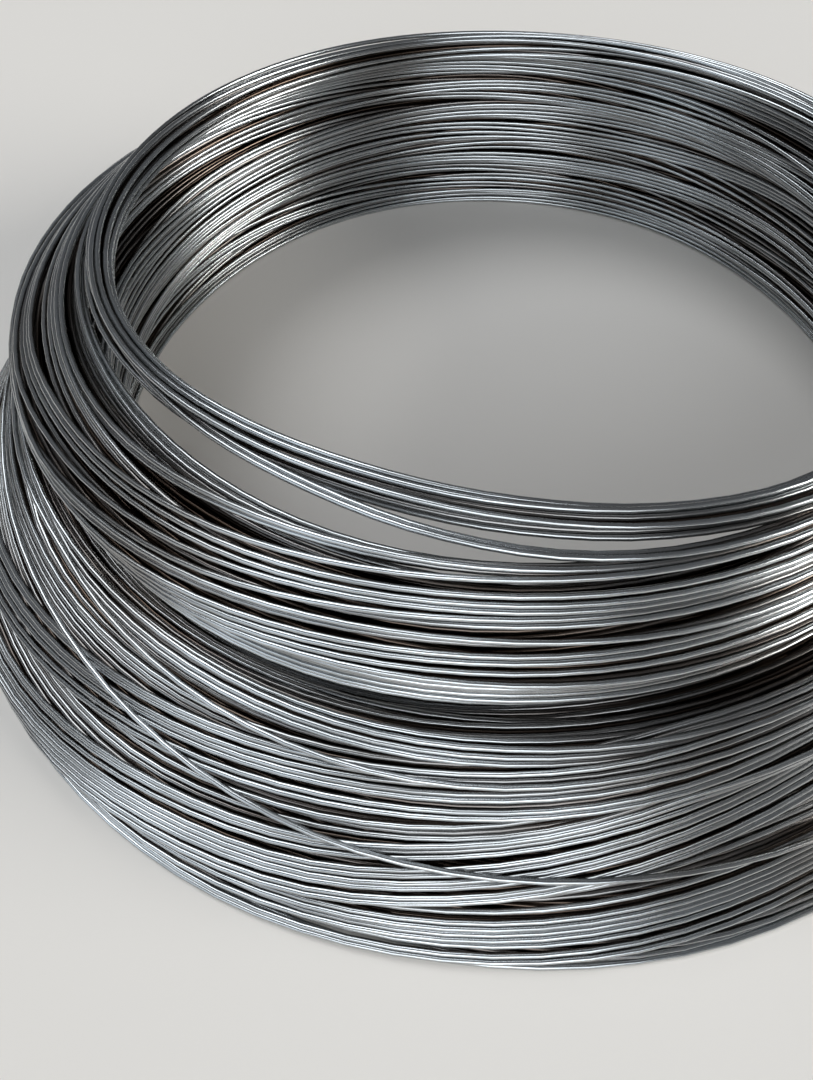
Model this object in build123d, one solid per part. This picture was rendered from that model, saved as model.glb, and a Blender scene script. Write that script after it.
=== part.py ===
from build123d import *
import os
from math import cos, hypot, radians, sin

# A coil of galvanized tie wire, lying on its wide end. Millimetres, +Z up.
# The origin is on the floor, on the axis of the wide end.
# The coil is one length of wire, so it is one solid: three lays of turns and a crown.
# The lays of a loose coil slip and tip a little, so each lay is lofted between two levels of its
# own, tipped and slipped, and its sides run straight from the lower level to the upper one.
# Bearings are degrees from +X towards +Y.

# The wire, and the bands in which its turns bunch on the sides, with a groove between two bands
wire_diameter = 1.65
band_width = 12.0
groove_width = 3.0
groove_depth = 2.0

# The wide end on the floor and the narrow crest: their radii outside, and how far in the eye lies
foot_radius = 210.0
foot_width = 59.5
crest_radius = 141.0
crest_width = 5.0

# The shoulder on which the lower lay ends, and the steep lip with which the upper lay starts
shoulder_width = 26.2
lip_width = 20.4
lip_height = 6.0

# Heights of the lays
base_lay_height = 19.5
lower_lay_height = 34.0
upper_lay_height = 28.0

# Two lays almost touch on one side, and on the other the gap between them opens as a wedge
least_gap = 0.8
lower_gap = 4.2
lower_gap_bearing = 10.0
upper_gap = 7.2
upper_gap_bearing = -110.0

# The crest rises to one side, and the upper lay has slipped off the lower one at its foot
crest_rise = 7.0
crest_bearing = -95.0
foot_slip = 9.0
crest_slip = 1.0
slip_bearing = 175.0

# In a gap, a narrower ring of turns carries the lay above
neck_inset = 6.0
nest_depth = 3.0

# The crown, some turns that lie loose in the eye of the crest and bite into it on one side
crown_columns = 4
crown_rows = 6
crown_sunk = 4.0
crown_clearance = 0.8
crown_bite = 3.3
crown_bearing = 52.0
crown_rise = 5.5
crown_rise_bearing = -90.0
ridge_rise = 0.6

# Heights added up from the floor, on the axis, and the radii of the eye at its two ends
lower_foot = base_lay_height + (least_gap + lower_gap) / 2
lower_head = lower_foot + lower_lay_height
upper_foot = lower_head + (least_gap + upper_gap) / 2
lip_head = upper_foot + lip_height
crest_height = upper_foot + upper_lay_height
foot_eye_radius = foot_radius - foot_width
crest_eye_radius = crest_radius - crest_width


def eye_radius(height):
    """Eye of the lays at a height above the floor."""
    return foot_eye_radius + (crest_eye_radius - foot_eye_radius) * height / crest_height


def flank_radius(height):
    """Outside of the two lowest lays at a height above the floor."""
    shoulder_radius = eye_radius(lower_head) + shoulder_width
    return foot_radius + (shoulder_radius - foot_radius) * height / lower_head


def lip_radius(height):
    """Outside of the lip of the upper lay at a height above the floor."""
    return eye_radius(height) + lip_width


def tip(rise, radius, bearing):
    """The slopes along X and Y of a plane that rises by so much at a radius and a bearing."""
    slope = rise / radius
    return Vector(slope * cos(radians(bearing)), slope * sin(radians(bearing)))


def level(height, slope=Vector(), slip=0.0):
    """A level of the coil: a plane that crosses the axis at a height, tipped, and slipped sideways."""
    aside = Vector(slip * cos(radians(slip_bearing)), slip * sin(radians(slip_bearing)))
    return Plane(aside + Vector(0, 0, height), x_dir=(1, 0, slope.X), z_dir=(-slope.X, -slope.Y, 1))


def between(foot, head, share):
    """The level at a share of the way from one level to another."""
    return Plane(
        foot.origin + (head.origin - foot.origin) * share,
        x_dir=foot.x_dir + (head.x_dir - foot.x_dir) * share,
        z_dir=foot.z_dir + (head.z_dir - foot.z_dir) * share,
    )


def banded(line, groove):
    """Bands along a line of (height, radius), with a groove that far outwards between each two."""
    places = []
    for (low, start), (high, end) in zip(line, line[1:]):
        run = hypot(high - low, end - start)
        count = max(1, round(run / band_width))
        places.append((low, start))
        for band in range(1, count):
            for aside, cut in ((-groove_width / 2, 0), (0, groove), (groove_width / 2, 0)):
                share = band / count + aside / run
                places.append((low + (high - low) * share, start + (end - start) * share + cut))
    return places + [line[-1]]


def side(foot, head, line):
    """The solid that a side of a lay encloses, from one level to the other."""
    low, high = line[0][0], line[-1][0]
    sections = [
        between(foot, head, (height - low) / (high - low)) * Circle(radius) for height, radius in line
    ]
    return loft(sections, ruled=True)


def lay(foot, head, outside):
    """The turns between two levels, banded outside and in the eye."""
    low, high = outside[0][0], outside[-1][0]
    eye = [(low, eye_radius(low)), (high, eye_radius(high))]
    return side(foot, head, banded(outside, -groove_depth)) - side(foot, head, banded(eye, groove_depth))


def neck(below, above, outside, eye, reach):
    """The turns in the gap between two levels, well inside the sides of the lay above."""
    centre = (below.origin + above.origin) / 2
    foot = below.origin.Z - reach - nest_depth
    head = above.origin.Z + reach + nest_depth
    ring = Circle(outside - neck_inset) - Circle(eye + neck_inset)
    return Pos(centre.X, centre.Y, foot) * extrude(ring, head - foot)


def ridges(start, end, width):
    """A line from start to end, in radius and height, with a ridge to its right for each width."""
    across, up = end[0] - start[0], end[1] - start[1]
    run = hypot(across, up)
    count = round(run / width)
    points = []
    for half in range(1, 2 * count):
        share, aside = half / (2 * count), ridge_rise * (half % 2) / run
        points.append((start[0] + across * share + up * aside, start[1] + up * share - across * aside))
    return Polyline(start, *points, end)


def crown():
    """The last turns, standing on their own foot, where each turn on top shows as a ridge."""
    outside = crest_eye_radius - crown_clearance
    inside = outside - crown_columns * wire_diameter
    head = crown_rows * wire_diameter
    foot_and_side = Polyline((inside, 0), (outside, 0), (outside, head))
    top = ridges((outside, head), (inside, head), wire_diameter)
    bore = ridges((inside, head), (inside, 0), 2 * wire_diameter)
    edges = [edge for line in (foot_and_side, top, bore) for edge in line.edges()]
    return revolve(Plane.XZ * make_face(edges), Axis.Z)


def wire_coil():
    """The whole coil, from the floor up."""
    base_head = level(base_lay_height)
    coil = lay(level(0), base_head, [(0, foot_radius), (base_lay_height, flank_radius(base_lay_height))])

    reach = (lower_gap - least_gap) / 2
    lower_slope = tip(reach, flank_radius(lower_foot), lower_gap_bearing)
    foot, head = level(lower_foot, lower_slope), level(lower_head, lower_slope)
    coil += neck(base_head, foot, flank_radius(lower_foot), eye_radius(lower_foot), reach)
    coil += lay(foot, head, [(height, flank_radius(height)) for height in (lower_foot, lower_head)])

    reach = (upper_gap - least_gap) / 2
    upper_slope = lower_slope + tip(reach, lip_radius(upper_foot), upper_gap_bearing)
    foot = level(upper_foot, upper_slope, foot_slip)
    crest = level(crest_height, tip(crest_rise, crest_radius, crest_bearing), crest_slip)
    coil += neck(head, foot, lip_radius(upper_foot), eye_radius(upper_foot), reach)
    lip = [(height, lip_radius(height)) for height in (upper_foot, lip_head)]
    coil += lay(foot, crest, [*lip, (crest_height, crest_radius)])

    slip = crown_clearance + crown_bite
    aside = Pos(slip * cos(radians(crown_bearing)), slip * sin(radians(crown_bearing)), 0)
    crown_slope = tip(crown_rise, crest_eye_radius, crown_rise_bearing)
    stand = level(crest_height - crown_sunk, crown_slope, crest_slip)
    return coil + aside * stand.location * crown()


os.makedirs("parts", exist_ok=True)
export_step(wire_coil(), "parts/wire_coil.step")
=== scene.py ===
from math import cos, hypot, pi, radians, sin

import bpy
import numpy as np
from mathutils import Matrix, Vector


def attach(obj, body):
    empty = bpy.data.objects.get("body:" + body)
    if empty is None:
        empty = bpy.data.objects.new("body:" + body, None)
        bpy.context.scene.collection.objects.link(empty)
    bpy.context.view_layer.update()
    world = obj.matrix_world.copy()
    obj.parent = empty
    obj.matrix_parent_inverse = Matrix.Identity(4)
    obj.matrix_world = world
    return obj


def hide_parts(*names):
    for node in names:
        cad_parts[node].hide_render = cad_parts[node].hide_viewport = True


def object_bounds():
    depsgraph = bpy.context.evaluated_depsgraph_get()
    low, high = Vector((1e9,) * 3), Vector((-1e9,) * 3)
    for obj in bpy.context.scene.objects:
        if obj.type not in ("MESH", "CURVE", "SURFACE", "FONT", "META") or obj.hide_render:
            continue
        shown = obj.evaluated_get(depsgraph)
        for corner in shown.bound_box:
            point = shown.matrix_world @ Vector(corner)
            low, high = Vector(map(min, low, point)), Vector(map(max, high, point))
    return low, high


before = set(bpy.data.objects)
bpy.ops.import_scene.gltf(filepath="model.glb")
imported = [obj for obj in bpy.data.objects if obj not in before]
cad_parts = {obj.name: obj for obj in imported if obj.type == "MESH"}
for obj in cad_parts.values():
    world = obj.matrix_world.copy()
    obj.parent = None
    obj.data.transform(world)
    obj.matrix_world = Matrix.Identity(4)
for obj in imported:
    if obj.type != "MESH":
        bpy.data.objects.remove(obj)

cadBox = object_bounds()

# Lengths are in metres. Bearings are in degrees from +X towards +Y, so -90 faces the camera.
# Most functions take the bearings of all stations round the coil at once, and bend is the same in radians.
wire = {
    "diameter": 0.00165,
    "stationsPerTurn": 100,
    "sides": {"outer": 8, "middle": 5, "eye": 6, "crown": 8},  # of the wire's section, in each kind of piece
    "sideDepth": 2.8,  # diameters from a side of a lay within which a turn belongs to the piece of that side
    "mostTriangles": 190000,  # of one piece
    "seed": 5,
}
tiny = 1e-9  # keeps a division from meeting zero


def lineAt(line, share):
    # the value at a place along a line of (place, value) points
    return np.interp(share, [p[0] for p in line], [p[1] for p in line])


def planeAt(plane, bearing):
    # the height of a tipped plane at the side of the coil
    height, rise, towards = plane
    return height + rise * np.cos(np.radians(bearing - towards))


def slant(line, rise):
    # length along a lay's side for each metre of its height
    return hypot(1, (lineAt(line, 1) - lineAt(line, 0)) / rise)


def swell(away, narrowness):
    # 1 where the angle from a bearing is 0, falling to 0 on the other side of the coil
    return ((1 + np.cos(away)) / 2) ** narrowness


def roundPath(points, bearing):
    # a smooth path round the coil through (bearing, height) points, or (bearing, radius) points
    points = sorted(points)
    bearings = np.array([p[0] for p in points], float)
    values = np.array([p[1] for p in points], float)
    b = np.concatenate([bearings[-2:] - 360, bearings, bearings[:3] + 360])
    v = np.concatenate([values[-2:], values, values[:3]])
    x = (bearing - bearings[0]) % 360 + bearings[0]
    i = np.clip(np.searchsorted(b, x, side="right") - 1, 1, len(b) - 3)
    width = b[i + 1] - b[i]
    slopeHere = (v[i + 1] - v[i - 1]) / (b[i + 1] - b[i - 1])
    slopeNext = (v[i + 2] - v[i]) / (b[i + 2] - b[i])
    t = (x - b[i]) / width
    return ((2 * t**3 - 3 * t**2 + 1) * v[i] + (t**3 - 2 * t**2 + t) * width * slopeHere
            + (3 * t**2 - 2 * t**3) * v[i + 1] + (t**3 - t**2) * width * slopeNext)


# The lays of turns, from the floor up. foot and head are tipped planes: height on the axis, rise, and the
# bearing that rises. outer and eye are the radii of the two sides at shares of the height.
# slip shifts the foot and the head sideways: distance, bearing.
# dent draws the foot inwards, and the head of the eye side: depth, bearing, narrowness.
# dip lowers the head, from nothing on the outside to its whole depth in the eye: depth, bearing, narrowness.
# stray is how far the turns of a column may pass the foot and the head, and wander scales the waves in which
# they rise and fall. lean is how far they rise towards one side, halfway up the lay.
# ribbons are bunches of turns on the outside: turns, how many diameters they stand proud, how much their
# spacing fans out and at which bearing, and the (bearing, height) points of their path round the coil.
baseLay = {
    "name": "base_lay",
    "foot": (0.0000, 0.0, 0.0),
    "head": (0.0195, 0.0, 0.0),
    "outer": ((0, 0.2100), (1, 0.1952), (2.2, 0.1774)),
    "eye": ((0, 0.1505), (1, 0.1473)),
    "slip": ((0, 0), (0, 0)),
    "dent": ((0, 0, 1), (0, 0, 1)),
    "dip": (0, 0, 1),
    "stray": (0.0, 0.0080),
    "wander": 1.3,
    "lean": 0.012,
    "ribbons": (
        (1, -0.2, (0.0, 0), ((-170, .001), (-150, .001), (-100, .001), (-60, .001), (0, .001), (120, .001))),
        (4, 0.0, (0.9, -70), ((-150, .002), (-122, .002), (-100, .0055), (-84, .0085), (-67, .0120),
                              (-20, .014), (60, .008), (140, .003))),
        (4, 0.1, (0.8, -70), ((-160, .005), (-130, .0055), (-97, .0125), (-67, .0185), (-20, .019),
                              (60, .010), (150, .005))),
        (4, 0.1, (0.8, -140), ((-155, .013), (-130, .013), (-113, .0180), (-97, .0225), (-70, .030),
                               (0, .020), (90, .013))),
        (9, 1.0, (0.4, -110), ((180, .006), (-165, .0055), (-145, .0055), (-122, .0155), (-109, .0207),
                               (-97, .0274), (-72, .0400), (-45, .0470), (0, .040), (60, .026),
                               (120, .012))),
    ),
}
lowerLay = {
    "name": "lower_lay",
    "foot": (0.0215, 0.0015, 10.0),
    "head": (0.0560, 0.0015, 10.0),
    "outer": ((-0.35, 0.2026), (0, 0.1935), (1, 0.1675)),
    "eye": ((0, 0.1470), (1, 0.1413)),
    "slip": ((0, 0), (0, 0)),
    "dent": ((0, 0, 1), (0, 0, 1)),
    "dip": (0.0160, -124.0, 7),
    "stray": (0.0080, 0.0),
    "wander": 1.4,
    "lean": 0.020,
    "ribbons": (
        (4, 0.1, (1.0, -150), ((-155, .024), (-130, .023), (-113, .028), (-97, .034), (-72, .046),
                               (-40, .052), (40, .045), (120, .030))),
        (3, 0.0, (0.8, -120), ((-155, .031), (-130, .030), (-110, .0335), (-90, .0405), (-68, .050),
                               (-40, .054), (60, .045), (140, .034))),
        (6, 0.3, (0.5, -130), ((-165, .0415), (-150, .042), (-138, .0415), (-122, .0425), (-105, .0455),
                               (-88, .0490), (-65, .0560), (0, .054), (90, .047))),
        (3, 0.1, (0.6, -130), ((-155, .052), (-148, .0490), (-138, .0475), (-115, .0480), (-95, .0505),
                               (-70, .0570), (0, .055), (90, .052))),
        (3, 0.5, (0.4, -90), ((-158, .0565), (-148, .0560), (-138, .0545), (-109, .0540), (-84, .0555),
                              (-65, .0570), (0, .055), (90, .053))),
        (7, 0.8, (0.6, -150), ((-165, .0205), (-155, .0230), (-130, .0350), (-109, .0430), (-84, .0490),
                               (-60, .0545), (0, .054), (80, .045), (140, .028))),
        (1, 2.0, (0.0, 0), ((-175, .0475), (-150, .0430), (-138, .0405), (-127, .0370), (-109, .0310),
                            (-97, .0285), (-83, .0262), (-69, .0234), (-40, .0215), (0, .026),
                            (110, .045))),
        (1, 1.8, (0.0, 0), ((-165, .0565), (-150, .0585), (-133, .0540), (-117, .0508), (-97, .0500),
                            (-82, .0520), (-60, .0545), (0, .054), (80, .051), (150, .055))),
    ),
}
upperLay = {
    "name": "upper_lay",
    "foot": (0.0600, 0.0038, -115.0),
    "head": (0.0880, 0.0070, -95.0),
    "outer": ((0, 0.1610), (0.2, 0.1600), (1, 0.1410)),
    "eye": ((0, 0.1406), (1, 0.1360)),
    "slip": ((0.0090, 170), (0.0020, -110)),
    "dent": ((0.0052, -150.0, 16), (0.0042, -142.0, 12)),
    "dip": (0, 0, 1),
    "stray": (0.0, 0.0),
    "wander": 0.9,
    "lean": 0.010,
    "ribbons": (
        (7, 0.0, (0.0, 0), ((-150, .0625), (-120, .0635), (-90, .0640), (-60, .0625), (0, .062),
                            (90, .061))),
        (4, 0.1, (1.0, -90), ((-165, .0605), (-147, .0630), (-128, .0665), (-111, .0695), (-97, .0705),
                              (-60, .0700), (60, .069), (150, .064))),
        (4, 0.1, (1.2, -100), ((-165, .0620), (-147, .0660), (-128, .0710), (-111, .0750), (-97, .0765),
                               (-60, .0765), (60, .073), (150, .066))),
        (4, 0.1, (1.0, -80), ((-170, .0690), (-150, .0735), (-128, .0775), (-97, .0820), (-60, .0825),
                              (60, .080), (150, .071))),
    ),
}

# How loosely the turns lie. Pitches, depths and gaps are in diameters of the wire.
# A lay is wound in upright columns from each side to its middle, and in a column some turns keep together.
# Where there are two values, they are the least and the most, or else the outside's and the eye side's.
loose = {
    "waves": (0.0034, 0.0030, 0.0018, 0.0010, 0.0005),  # sizes in metres of 1, 2, 3 ... waves round the coil
    "strength": 0.7,  # of all waves
    "alone": 0.13,  # share of the waves in which each turn goes its own way
    "inAndOut": 0.10,  # share of the waves in which a bunch goes in and out
    "wanderShare": (1, 0.6),  # share of the lay's wander
    "turnsInBunch": (2, 6),
    "pitch": (1.0, 1.08),  # from turn to turn in a column
    "ribbonPitch": 1.02,  # from turn to turn in one of the lay's ribbons
    "columnPitch": 1.02,  # from column to column
    "firstHeight": 0.4,  # most room below the first turn of a column
    "firstColumn": (1.4, 0.5),  # depth of the first column
    "leastGap": 0.1,  # between two bunches of a column
    "gap": 1.9,  # the most between them in the columns nearest a side
    "deepGap": 0.8,  # the same in columns deeper than openDepth
    "openDepth": 3,
    "leastRoom": 0.25,  # from a turn to the middle of the lay
    "uneven": 0.15,  # most that a turn lies beside its column
    "fan": 1.3,  # most that the turns of a bunch spread, as a share of their spacing
    "fanFoot": 3,  # most from the first turn up to the height that they spread from
    "fanNarrowness": 2,
    "lean": (-0.15, 1),  # the share of the lay's lean that a bunch takes
    "leanShare": (1, 0.3),  # the share that a side takes
    "leanTo": -20.0,  # the bearing towards which turns rise
    "softEnds": 0.003,  # metres from the foot and the head within which the turns of a column are squeezed
    "mostSoft": 0.9,  # share of half the height that this may take
}


def softLimit(x, low, high, soft):
    # keeps x between low and high, by squeezing what comes nearer to them than soft
    middle, half = (low + high) / 2, (high - low) / 2
    t = (x - middle) / half
    k = np.minimum(soft / half, loose["mostSoft"])
    past = np.maximum(np.abs(t) - (1 - k), 0)
    size = np.where(past > 0, (1 - k) + k * np.tanh(past / k), np.abs(t))
    return middle + half * np.sign(t) * size


def wandering(draw, bend, scale):
    # a random path round the coil, as a sum of waves
    total = np.zeros_like(bend)
    for k, size in enumerate(loose["waves"], 1):
        total = total + draw.normal(0, size) * np.cos(k * bend) + draw.normal(0, size) * np.sin(k * bend)
    return total * scale * loose["strength"]


def columnOfTurns(draw, rise, rate, gap):
    # heights above the foot of one column's turns, with True where a new bunch starts
    d = wire["diameter"]
    fewest, most = loose["turnsInBunch"]
    found = []
    height = d / 2 / rate + draw.uniform(0, loose["firstHeight"]) * d
    top = rise - d / 2 / rate
    while height < top:
        for n in range(draw.integers(fewest, most + 1)):
            if height > top:
                break
            found.append((height, n == 0))
            height += d * draw.uniform(*loose["pitch"]) / rate
        height += d * draw.uniform(loose["leastGap"], gap) / rate
    return found


def columnsOfSide(lay, side, draw, bend):
    # columns of turns from one side of a lay, 0 for the outside and 1 for the eye, as far as its middle
    # a turn is its side, depth, height above the foot, in-and-out, and whether it is free of the soft ends
    d = wire["diameter"]
    rise = lay["head"][0] - lay["foot"][0]
    rate = slant((lay["outer"], lay["eye"])[side], rise)
    columns = []
    depth = d * loose["firstColumn"][side]
    while True:
        column = []
        gap = loose["gap"] if depth < loose["openDepth"] * d else loose["deepGap"]
        for height, first in columnOfTurns(draw, rise, rate, gap):
            share = height / rise
            outside, inside = lineAt(lay["outer"], share), lineAt(lay["eye"], share)
            room = (outside - inside) / 2 - depth * rate
            if room < loose["leastRoom"] * d:
                continue
            if first or not column:
                shared = wandering(draw, bend, lay["wander"] * loose["wanderShare"][side])
                sharedIn = wandering(draw, bend, loose["inAndOut"])
                fanFoot = height + draw.uniform(0, loose["fanFoot"]) * d
                fan = draw.uniform(0, loose["fan"])
                fan = fan * swell(bend - draw.uniform(0, 2 * pi), loose["fanNarrowness"])
                lean = draw.uniform(*loose["lean"]) * lay["lean"] * np.cos(bend - radians(loose["leanTo"]))
            own = wandering(draw, bend, loose["alone"]) + (height - fanFoot) * fan
            own = own + 4 * share * (1 - share) * lean * loose["leanShare"][side]
            aside = draw.uniform(-loose["uneven"], loose["uneven"]) * d
            column.append((side, depth + aside, height + shared + own, sharedIn, False))
        if not column:
            return columns
        columns.append(column)
        depth += loose["columnPitch"] * d


def turnsOfLay(lay, draw, bearing, inward):
    # a lay's turns in winding order: ribbons, the outer columns, then the columns of the eye side
    d = wire["diameter"]
    bend = np.radians(bearing)
    rate = slant(lay["outer"], lay["head"][0] - lay["foot"][0])
    turns = []
    for count, proud, (fan, fanBearing), points in lay["ribbons"]:
        path = roundPath(points, bearing) - lay["foot"][0]
        fanned = fan * swell(bend - radians(fanBearing), loose["fanNarrowness"])
        spacing = d * (loose["ribbonPitch"] + fanned) / rate
        for n in range(count):
            offset = (n - (count - 1) / 2) * spacing
            own = wandering(draw, bend, loose["alone"])
            turns.append((0, d / 2 - proud * d, path + offset + own, 0 * bend, True))
    columns = columnsOfSide(lay, 0, draw, bend) + columnsOfSide(lay, 1, draw, bend)[::-1]
    for k, column in enumerate(columns):
        turns += column if k % 2 == 0 else column[::-1]
    return turns if inward else turns[::-1]


def placedTurn(lay, turn, bearing):
    # radius and height round the coil of one turn of a lay
    side, depth, height, inOut, free = turn
    d = wire["diameter"]
    foot, head = planeAt(lay["foot"], bearing), planeAt(lay["head"], bearing)
    rise = lay["head"][0] - lay["foot"][0]
    line = (lay["outer"], lay["eye"])[side]
    rate = slant(line, rise)
    across = lineAt(lay["outer"], 0.5) - lineAt(lay["eye"], 0.5)
    inwards = depth / across if side == 0 else 1 - depth / across
    covered = np.clip(inwards - d / across, 0, 1) ** 0.5  # 0 on the outside, near 1 in the eye
    dip, dipBearing, narrowness = lay["dip"]
    dipped = dip * covered * swell(np.radians(bearing - dipBearing), narrowness)
    low = (d / 2 - lay["stray"][0]) / rise
    high = 1 + (lay["stray"][1] - d / 2 - dipped) / rise
    share = height / rise if free else softLimit(height / rise, low, high, loose["softEnds"] / rise)
    r = lineAt(line, share) + (-1 if side == 0 else 1) * depth * rate + inOut
    (footSlip, footBearing), (headSlip, headBearing) = lay["slip"]
    within = np.clip(share, 0, 1)
    dents = [most * swell(np.radians(bearing - towards), narrow) for most, towards, narrow in lay["dent"]]
    r = r - (1 - within) * dents[0] - (within * dents[1] if side == 1 else 0)
    r = r + (1 - within) * footSlip * np.cos(np.radians(bearing - footBearing))
    r = r + within * headSlip * np.cos(np.radians(bearing - headBearing))
    return r, foot + share * (head - foot)


# The crown, in upright columns. inner is the radius of its inmost turns, and pair that of the two turns that
# lie out in front of it, both as (bearing, radius) points. Pitches and unevenness are in diameters, and of
# two values the first is across and the second upwards.
crown = {
    "name": "crown",
    "foot": 0.0850,
    "tip": (0.0055, -90.0),  # rise, bearing
    "columns": 4,
    "rows": 4,
    "pitch": (1.02, 1.05),
    "uneven": (0.2, 0.3),
    "wander": (0.16, 0.25),
    "inner": ((180, .1275), (-160, .1262), (-143, .1240), (-126, .1215), (-112, .1210), (-95, .1236),
              (-81, .1275), (-65, .1315), (-40, .1325), (0, .1315), (60, .1310), (120, .1295)),
    "pair": ((180, .1345), (-150, .1305), (-131, .1312), (-117, .1325), (-103, .1362), (-89, .1400),
             (-77, .1415), (-60, .1415), (-30, .1390), (60, .1375), (120, .1350)),
    "pairDrop": (0.0025, -70.0, 4),  # depth, bearing, narrowness
    "pairPitch": 1.05,
    "pairWander": (0.06, 0.1),
}


def turnsOfCrown(draw, bearing):
    # the pair that lies out in front, and then the columns, as radius and height round the coil
    d = wire["diameter"]
    bend = np.radians(bearing)
    tip, tipBearing = crown["tip"]
    level = crown["foot"] + tip * np.cos(bend - radians(tipBearing))
    inner, pair = roundPath(crown["inner"], bearing), roundPath(crown["pair"], bearing)
    drop, dropBearing, narrowness = crown["pairDrop"]
    dropped = drop * swell(np.radians(bearing - dropBearing), narrowness)
    wanderAcross, wanderUp = crown["pairWander"]
    turns = []
    for n in range(2):
        z = level + (crown["rows"] - 0.5) * d - dropped + wandering(draw, bend, wanderUp)
        turns.append((pair - (n + 0.5) * d * crown["pairPitch"] + wandering(draw, bend, wanderAcross), z))
    pitchAcross, pitchUp = crown["pitch"]
    unevenAcross, unevenUp = crown["uneven"]
    wanderAcross, wanderUp = crown["wander"]
    for k in range(crown["columns"] - 1, -1, -1):
        rows = range(crown["rows"]) if k % 2 == 0 else range(crown["rows"] - 1, -1, -1)
        for n in rows:
            r = inner + (k + 0.5) * d * pitchAcross + draw.uniform(-unevenAcross, unevenAcross) * d
            r = r + wandering(draw, bend, wanderAcross)
            z = level + (n + 0.5 + 0.5 * (k % 2)) * d * pitchUp + draw.uniform(-unevenUp, unevenUp) * d
            turns.append((r, z + wandering(draw, bend, wanderUp)))
    return turns


# Where a turn leaves the path of the one before it, out of the photo's view: the first bearing, and degrees.
change = {"from": -55.0, "over": 100.0}


def woundCoil():
    # radius and height of every turn at every station, and the name of the part that each turn belongs to
    draw = np.random.default_rng(wire["seed"])
    stations = wire["stationsPerTurn"]
    bearing = change["from"] + np.arange(stations) * 360.0 / stations
    turns, parts = [], []
    for number, lay in enumerate((baseLay, lowerLay, upperLay)):
        for turn in turnsOfLay(lay, draw, bearing, inward=number % 2 == 0):
            turns.append(placedTurn(lay, turn, bearing))
            atSide = turn[1] < wire["sideDepth"] * wire["diameter"]
            where = ("outer", "eye")[turn[0]] if atSide else "middle"
            parts.append(lay["name"] + "_" + where + "_turns")
    for turn in turnsOfCrown(draw, bearing):
        turns.append(turn)
        parts.append(crown["name"] + "_turns")
    r = np.array([turn[0] for turn in turns])
    z = np.array([turn[1] for turn in turns])
    w = np.clip((bearing - change["from"]) / change["over"], 0, 1)
    w = w * w * (3 - 2 * w)
    r = r * w + np.vstack([r[:1], r[:-1]]) * (1 - w)
    z = z * w + np.vstack([z[:1], z[:-1]]) * (1 - w)
    return r, z, parts


def nearPairs(r, z, reach):
    # pairs of places on the wire that lie near each other at the same bearing: at each station the turns are
    # sorted by height, and each is held against those that follow within reach
    turns, stations = r.shape
    first, second = [], []
    for j in range(stations):
        order = np.argsort(z[:, j], kind="stable")
        rj, zj = r[order, j], z[order, j]
        count = np.searchsorted(zj, zj + reach) - np.arange(turns) - 1
        a = np.repeat(np.arange(turns), count)
        b = np.arange(count.sum()) - np.repeat(np.cumsum(count) - count, count) + a + 1
        near = (rj[a] - rj[b])**2 + (zj[a] - zj[b])**2 < reach**2
        first.append(order[a[near]] * stations + j)
        second.append(order[b[near]] * stations + j)
    return np.concatenate(first), np.concatenate(second)


settling = {
    "steps": 200,
    "near": 1.7,  # diameters between two places that are watched
    "renewEvery": 10,  # steps after which the near places are looked up again
    "push": 1.7,  # how many overlaps of a place are undone in full in one step
    "smoothings": 2,  # in each step
    "smoothing": 0.3,  # share of the way to the middle between the places before and after
    "pull": 0.03,  # share of the way back in the first step, which falls to nothing in the last
}


def settled(rWound, zWound):
    # pushes the turns off one another, keeps the wire stiff by smoothing along it how far it has moved, and
    # draws the turns back a little towards where they were wound
    d = wire["diameter"]
    shape = rWound.shape
    r0, z0 = rWound.ravel(), zWound.ravel()
    r, z = r0.copy(), z0.copy()
    places = len(r)
    for step in range(settling["steps"]):
        if step % settling["renewEvery"] == 0:
            a, b = nearPairs(r.reshape(shape), z.reshape(shape), settling["near"] * d)
        dr, dz = r[a] - r[b], z[a] - z[b]
        apart = np.sqrt(dr * dr + dz * dz) + tiny
        lack = np.maximum(d - apart, 0)
        weight = 0.5 * lack / apart
        count = np.bincount(a, lack > 0, places) + np.bincount(b, lack > 0, places)
        share = settling["push"] / np.maximum(count, settling["push"])
        r += (np.bincount(a, weight * dr, places) - np.bincount(b, weight * dr, places)) * share
        z += (np.bincount(a, weight * dz, places) - np.bincount(b, weight * dz, places)) * share
        moved = np.stack([r - r0, z - z0])
        for _ in range(settling["smoothings"]):
            between = 0.5 * (moved[:, :-2] + moved[:, 2:])
            moved[:, 1:-1] += settling["smoothing"] * (between - moved[:, 1:-1])
        keep = 1 - settling["pull"] * (1 - step / settling["steps"])
        r = np.minimum(r0 + moved[0] * keep, cadBox[1][0] - d / 2)
        z = np.maximum(z0 + moved[1] * keep, d / 2)
    print("settled: mean overlap", round(float(lack.mean()) * 1000, 3), "mm")
    return r.reshape(shape), z.reshape(shape)


# Measures how closely the turns close in each place, for the painted shade in the wire's colour.
shelter = {
    "reach": 0.015,  # how near a turn must lie to give shelter
    "directions": 16,  # across the wire
    "leastLight": 0.02,  # that one turn lets past in a direction
    "range": (0.12, 0.36),  # how open a place is where it counts as wholly sheltered, and as wholly open
    "stationsMixed": 5,
}


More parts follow.
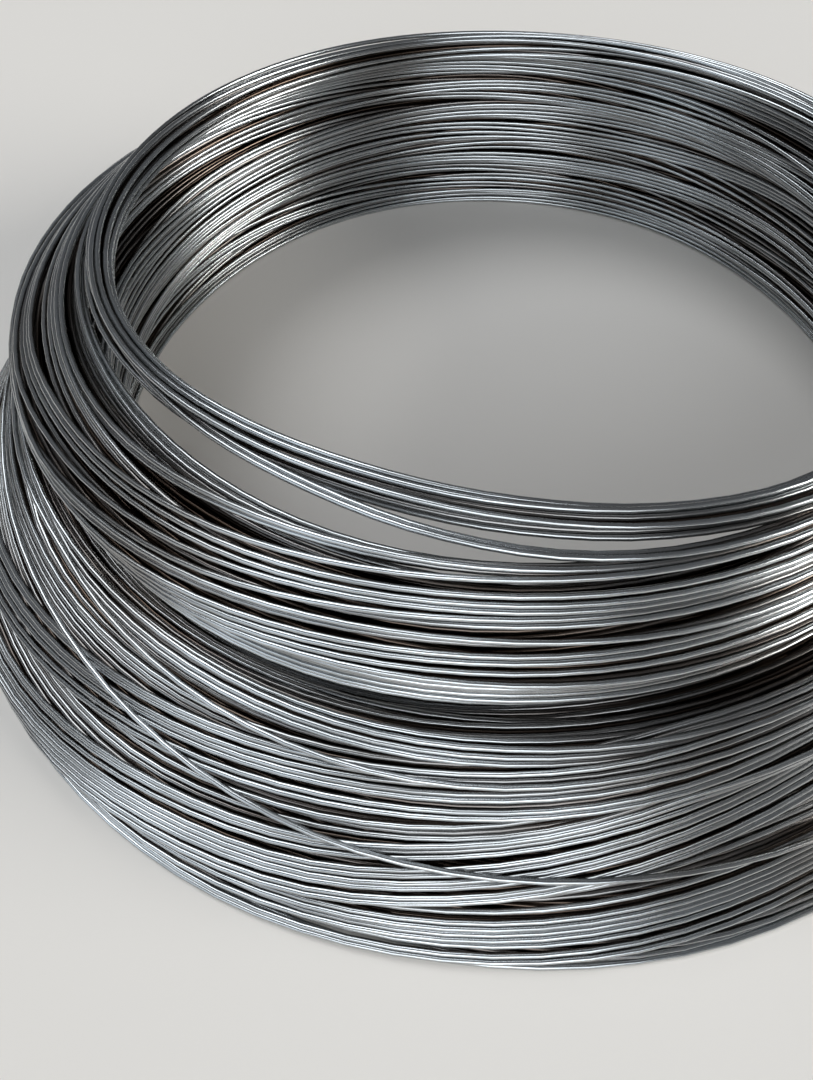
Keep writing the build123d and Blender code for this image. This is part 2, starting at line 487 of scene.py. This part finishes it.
def paintedShadeOfTurns(r, z):
    # painted shade for the wire's colour: 0 where the wire is open to the room, 1 where the turns round it
    # close off the directions across it
    # closed adds up, for each place and direction, the logarithm of the light that each near turn lets past
    half = wire["diameter"] / 2
    a, b = nearPairs(r, z, shelter["reach"])
    dr, dz = r.ravel()[b] - r.ravel()[a], z.ravel()[b] - z.ravel()[a]
    cover = np.arcsin(np.minimum(half / (np.hypot(dr, dz) + tiny), 1))
    count = shelter["directions"]
    width = 2 * pi / count
    closed = np.zeros(r.size * count)
    for place, angle in ((a, np.arctan2(dz, dr)), (b, np.arctan2(-dz, -dr))):
        middle = np.floor(angle / width)
        for step in (-1, 0, 1):
            low = (middle + step) * width - angle
            share = np.clip(np.minimum(low + width, cover) - np.maximum(low, -cover), 0, width) / width
            slot = place * count + ((middle + step) % count).astype(int)
            closed += np.bincount(slot, np.log(np.maximum(1 - share, shelter["leastLight"])), r.size * count)
    visible = np.exp(closed).reshape(-1, count).mean(1)
    closedIn, openOut = shelter["range"]
    paintedShade = np.clip((openOut - visible) / (openOut - closedIn), 0, 1)
    return np.convolve(paintedShade, np.ones(shelter["stationsMixed"]) / shelter["stationsMixed"], "same")


# Wraps a socket, so that maths on values reads as an expression.
class Channel:
    def __init__(self, tree, socket):
        self.tree = tree
        self.socket = socket

    def output(self, name):
        return Channel(self.tree, self.socket.node.outputs[name])

    def maths(self, operation, *values):
        return addNode(self.tree, "ShaderNodeMath", {"operation": operation}, dict(enumerate(values)))

    def __add__(self, other):
        return self.maths("ADD", self, other)

    def __radd__(self, other):
        return self.maths("ADD", other, self)

    def __mul__(self, other):
        return self.maths("MULTIPLY", self, other)

    def __rmul__(self, other):
        return self.maths("MULTIPLY", other, self)


def addNode(tree, kind, settings=None, values=None):
    # adds a node: its settings first, then a value or a link for each named or numbered socket
    node = tree.nodes.new(kind)
    for name, value in (settings or {}).items():
        if name == "captured":
            node.capture_items.new(*value)
        else:
            setattr(node, name, value)
    for name, value in (values or {}).items():
        if isinstance(value, Channel):
            tree.links.new(value.socket, node.inputs[name])
        else:
            node.inputs[name].default_value = value
    return Channel(tree, node.outputs[0]) if node.outputs else None


def blended(tree, factor, first, second):
    # a Mix node for colours: the factor and colours go into sockets 0, 6 and 7, and socket 2 gives the colour
    return addNode(tree, "ShaderNodeMix", {"data_type": "RGBA"}, {0: factor, 6: first, 7: second}).output(2)


def stretched(tree, vector, stretch):
    return addNode(tree, "ShaderNodeVectorMath", {"operation": "MULTIPLY"}, {0: vector, 1: stretch})


def noise(tree, vector, pattern):
    values = {"Vector": vector, "Scale": pattern["scale"], "Detail": pattern["detail"]}
    return addNode(tree, "ShaderNodeTexNoise", {}, values)


def mask(tree, value, pattern):
    low, high = pattern["range"]
    values = {"Value": value, "From Min": low, "From Max": high, "To Max": pattern["most"]}
    return addNode(tree, "ShaderNodeMapRange", {}, values)


# marks are drawn out along the wire, and patches are duller stretches of it, both in the wire's own space.
# spots are of soil, and lie in the coil's space.
zinc = {
    "bright": (0.57, 0.595, 0.61, 1),
    "dull": (0.32, 0.335, 0.34, 1),
    "soil": (0.18, 0.145, 0.11, 1),
    # painted shade for sheltered turns, with a brown tint that is a painted reflection
    "paintedShadeColour": (0.080, 0.053, 0.036, 1),
    "marks": {"stretch": (1, 1, 0.03), "scale": 900.0, "detail": 3.0},
    "patches": {"stretch": (0.3, 0.3, 1), "scale": 28.0, "detail": 4.0, "range": (0.42, 0.68), "most": 1.0},
    "spots": {"scale": 14.0, "detail": 5.0, "range": (0.52, 0.78), "most": 0.5},
    "mostDull": 0.8,
    # the largest share of that painted shade
    "mostPaintedShade": 0.95,
    "roughness": (0.18, 0.32),
    "roughShares": (0.7, 0.3),  # of the patches and of the marks
    "bump": 0.000006,
    "bumpStrength": 0.6,
}


def zincFinish():
    # satin zinc with marks, duller patches and a little soil, and painted shade that darkens it where the
    # turns lie sheltered
    material = bpy.data.materials.new("galvanized_wire")
    material.use_nodes = True
    tree = material.node_tree
    tree.nodes.clear()
    along = addNode(tree, "ShaderNodeAttribute", {"attribute_name": "wireSpace"}).output("Vector")
    marks = noise(tree, stretched(tree, along, zinc["marks"]["stretch"]), zinc["marks"])
    patches = noise(tree, stretched(tree, along, zinc["patches"]["stretch"]), zinc["patches"])
    spots = noise(tree, addNode(tree, "ShaderNodeTexCoord").output("Object"), zinc["spots"])
    dull = mask(tree, patches, zinc["patches"])
    soiled = mask(tree, spots, zinc["spots"])
    # painted shade: where the turns lie sheltered, the colour is darkened towards a brownish dark
    paintedShade = addNode(tree, "ShaderNodeAttribute", {"attribute_name": "paintedShade"}).output("Fac")
    colour = blended(tree, dull * zinc["mostDull"], zinc["bright"], zinc["dull"])
    colour = blended(tree, soiled, colour, zinc["soil"])
    colour = blended(tree, paintedShade * zinc["mostPaintedShade"], colour, zinc["paintedShadeColour"])
    low, high = zinc["roughness"]
    ofPatches, ofMarks = zinc["roughShares"]
    rough = low + (high - low) * (ofPatches * dull + ofMarks * marks)
    relief = {"Height": marks, "Distance": zinc["bump"], "Strength": zinc["bumpStrength"]}
    bump = addNode(tree, "ShaderNodeBump", {}, relief)
    surface = {"Base Color": colour, "Metallic": 1.0, "Roughness": rough, "Normal": bump}
    shader = addNode(tree, "ShaderNodeBsdfPrincipled", {}, surface)
    addNode(tree, "ShaderNodeOutputMaterial", {}, {"Surface": shader})
    return material


def wireTree():
    # skins a line of vertices with a round wire, and stores where each new vertex lies in the wire's own
    # space: x and y across the wire, and z along it
    tree = bpy.data.node_groups.new("wireRoundLine", "GeometryNodeTree")
    inputs = {"Line": "Geometry", "Wire diameter": "Float", "Sides": "Int", "Finish": "Material"}
    for name, kind in inputs.items():
        tree.interface.new_socket(name, in_out="INPUT", socket_type="NodeSocket" + kind)
    tree.interface.new_socket("Wire", in_out="OUTPUT", socket_type="NodeSocketGeometry")
    entry = addNode(tree, "NodeGroupInput")
    line, diameter, sides, finish = (entry.output(name) for name in inputs)
    radius = diameter * 0.5
    curve = addNode(tree, "GeometryNodeMeshToCurve", {}, {"Mesh": line})
    circle = addNode(tree, "GeometryNodeCurvePrimitiveCircle", {}, {"Resolution": sides, "Radius": radius})
    factor = addNode(tree, "GeometryNodeSplineParameter")
    captured = {"captured": ("FLOAT", "around")}
    profile = addNode(tree, "GeometryNodeCaptureAttribute", captured, {0: circle, 1: factor})
    tube = addNode(tree, "GeometryNodeCurveToMesh", {},
                   {"Curve": curve, "Profile Curve": profile, "Fill Caps": True})
    angle = profile.output("around") * (2 * pi)
    x = angle.maths("COSINE", angle) * radius
    y = angle.maths("SINE", angle) * radius
    run = addNode(tree, "GeometryNodeInputNamedAttribute", {"data_type": "FLOAT"}, {"Name": "run"})
    space = addNode(tree, "ShaderNodeCombineXYZ", {}, {"X": x, "Y": y, "Z": run})
    onPoints = {"data_type": "FLOAT_VECTOR", "domain": "POINT"}
    stored = addNode(tree, "GeometryNodeStoreNamedAttribute", onPoints,
                     {"Geometry": tube, "Name": "wireSpace", "Value": space})
    smooth = addNode(tree, "GeometryNodeSetShadeSmooth", {}, {"Geometry": stored})
    real = addNode(tree, "GeometryNodeRealizeInstances", {}, {"Geometry": smooth})
    finished = addNode(tree, "GeometryNodeSetMaterial", {}, {"Geometry": real, "Material": finish})
    addNode(tree, "NodeGroupOutput", {}, {0: finished})
    return tree


def wirePiece(name, points, values, sides, tree, finish):
    # one piece of the wire: its middle line with its values, skinned by the tree and made a plain mesh
    mesh = bpy.data.meshes.new(name + "Line")
    edges = np.stack([np.arange(len(points) - 1), np.arange(1, len(points))], 1)
    mesh.from_pydata(points.tolist(), edges.tolist(), [])
    for attribute, numbers in values.items():
        stored = mesh.attributes.new(attribute, "FLOAT", "POINT")
        stored.data.foreach_set("value", numbers.astype(np.float32))
    lineObject = bpy.data.objects.new(name + "Line", mesh)
    bpy.context.scene.collection.objects.link(lineObject)
    modifier = lineObject.modifiers.new("wire", "NODES")
    modifier.node_group = tree
    inputs = {item.name: item.identifier for item in tree.interface.items_tree if item.in_out == "INPUT"}
    modifier[inputs["Wire diameter"]] = wire["diameter"]
    modifier[inputs["Sides"]] = sides
    modifier[inputs["Finish"]] = finish
    depsgraph = bpy.context.evaluated_depsgraph_get()
    skinned = bpy.data.meshes.new_from_object(lineObject.evaluated_get(depsgraph))
    lineObject.modifiers.remove(modifier)
    bpy.data.objects.remove(lineObject)
    skinned.name = name
    piece = bpy.data.objects.new(name, skinned)
    bpy.context.scene.collection.objects.link(piece)
    return piece


def buildCoil():
    # every turn of the coil, in pieces that follow one another along the wire
    r, z, parts = woundCoil()
    print("wound", len(r), "turns")
    r, z = settled(r, z)
    stations = wire["stationsPerTurn"]
    bend = radians(change["from"]) + 2 * pi * np.arange(stations) / stations
    points = np.stack([r * np.cos(bend), r * np.sin(bend), z], -1).reshape(-1, 3)
    run = np.concatenate([[0], np.cumsum(np.linalg.norm(np.diff(points, axis=0), axis=1))])
    print("wire length", round(float(run[-1]), 1), "m, top", round(float(z.max()), 4))
    # painted shade for the wire's colour, from how closely the turns close in each place
    paintedShade = paintedShadeOfTurns(r, z)
    print("sheltered: mean", round(float(paintedShade.mean()), 2))
    finish = zincFinish()
    tree = wireTree()
    pieces, triangles = [], 0
    for part in dict.fromkeys(parts):
        turns = [n for n, name in enumerate(parts) if name == part]
        sides = wire["sides"][part.split("_")[-2]]
        shares = -(-len(turns) * stations * sides * 2 // wire["mostTriangles"])
        for n, some in enumerate(np.array_split(turns, shares)):
            start, end = some[0] * stations, min((some[-1] + 1) * stations + 1, len(points))
            label = part + "_" + "abcd"[n] if shares > 1 else part
            values = {"run": run[start:end], "paintedShade": paintedShade[start:end]}
            piece = wirePiece(label, points[start:end], values, sides, tree, finish)
            pieces.append(piece)
            triangles += sum(len(face.vertices) - 2 for face in piece.data.polygons)
            print(label, len(some), "turns")
    print(triangles, "triangles in all")
    return pieces


studio = {
    "floorColour": (0.76, 0.73, 0.69, 1),
    "floorRoughness": 0.9,
    "floorSize": 40.0,
    "worldColour": (0.62, 0.64, 0.68, 1),
    "worldStrength": 0.16,
    # name, bearing, degrees up, degrees across, strength, colour
    "lamps": (
        ("rightLamp", -13, 16, 34, 3.1, (1.0, 0.99, 0.96)),
        ("frontLamp", -94, 30, 46, 1.35, (0.92, 0.96, 1.0)),
        ("backLamp", 138, 64, 36, 1.1, (0.94, 0.97, 1.0)),
        ("leftLamp", -143, 18, 44, 0.55, (0.82, 0.91, 1.0)),
    ),
}


def buildFloor():
    half = studio["floorSize"] / 2
    corners = [(-half, -half, 0), (half, -half, 0), (half, half, 0), (-half, half, 0)]
    mesh = bpy.data.meshes.new("floor")
    mesh.from_pydata(corners, [], [(0, 1, 2, 3)])
    floor = bpy.data.objects.new("floor", mesh)
    bpy.context.scene.collection.objects.link(floor)
    paint = bpy.data.materials.new("paleFloor")
    paint.use_nodes = True
    shader = paint.node_tree.nodes["Principled BSDF"]
    shader.inputs["Base Color"].default_value = studio["floorColour"]
    shader.inputs["Roughness"].default_value = studio["floorRoughness"]
    mesh.materials.append(paint)


def buildLight():
    # the plain light of a room, and wide lamps that shine from far away
    world = bpy.data.worlds.new("studio")
    world.use_nodes = True
    background = world.node_tree.nodes["Background"]
    background.inputs["Color"].default_value = studio["worldColour"]
    background.inputs["Strength"].default_value = studio["worldStrength"]
    bpy.context.scene.world = world
    for name, bearing, upwards, across, strength, colour in studio["lamps"]:
        level = cos(radians(upwards))
        place = Vector((level * cos(radians(bearing)), level * sin(radians(bearing)), sin(radians(upwards))))
        light = bpy.data.lights.new(name, "SUN")
        light.angle = radians(across)
        light.energy = strength
        light.color = colour
        lamp = bpy.data.objects.new(name, light)
        lamp.location = place
        lamp.rotation_euler = (-place).to_track_quat("-Z", "Y").to_euler()
        bpy.context.scene.collection.objects.link(lamp)


# The camera of the photo.
view = {
    "place": (-0.0361, -0.2331, 0.2384),
    "downwards": 55.1,  # degrees, as is the roll
    "roll": -1.5,
    "focalLength": 784.0,  # pixels, as is the width of the image
    "imageWidth": 813.0,
    "sensor": 36.0,  # millimetres
    "clipStart": 0.01,
}


def buildCamera():
    down, roll = radians(view["downwards"]), radians(view["roll"])
    forward = Vector((0, cos(down), -sin(down)))
    right = Vector((1, 0, 0))
    up = right.cross(forward)
    xAxis = cos(roll) * right + sin(roll) * up
    yAxis = -sin(roll) * right + cos(roll) * up
    data = bpy.data.cameras.new("camera")
    data.sensor_fit = "HORIZONTAL"
    data.sensor_width = view["sensor"]
    data.lens = view["focalLength"] / view["imageWidth"] * view["sensor"]
    data.clip_start = view["clipStart"]
    camera = bpy.data.objects.new("camera", data)
    turned = Matrix((xAxis, yAxis, -forward)).transposed().to_4x4()
    camera.matrix_world = Matrix.Translation(view["place"]) @ turned
    bpy.context.scene.collection.objects.link(camera)
    bpy.context.scene.camera = camera


buildCamera()
buildFloor()
buildLight()
print("camera and studio ready")
for piece in buildCoil():
    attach(piece, "root")
    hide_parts("wire_coil")
print("coil ready")

bpy.context.scene.view_settings.view_transform = "Standard"
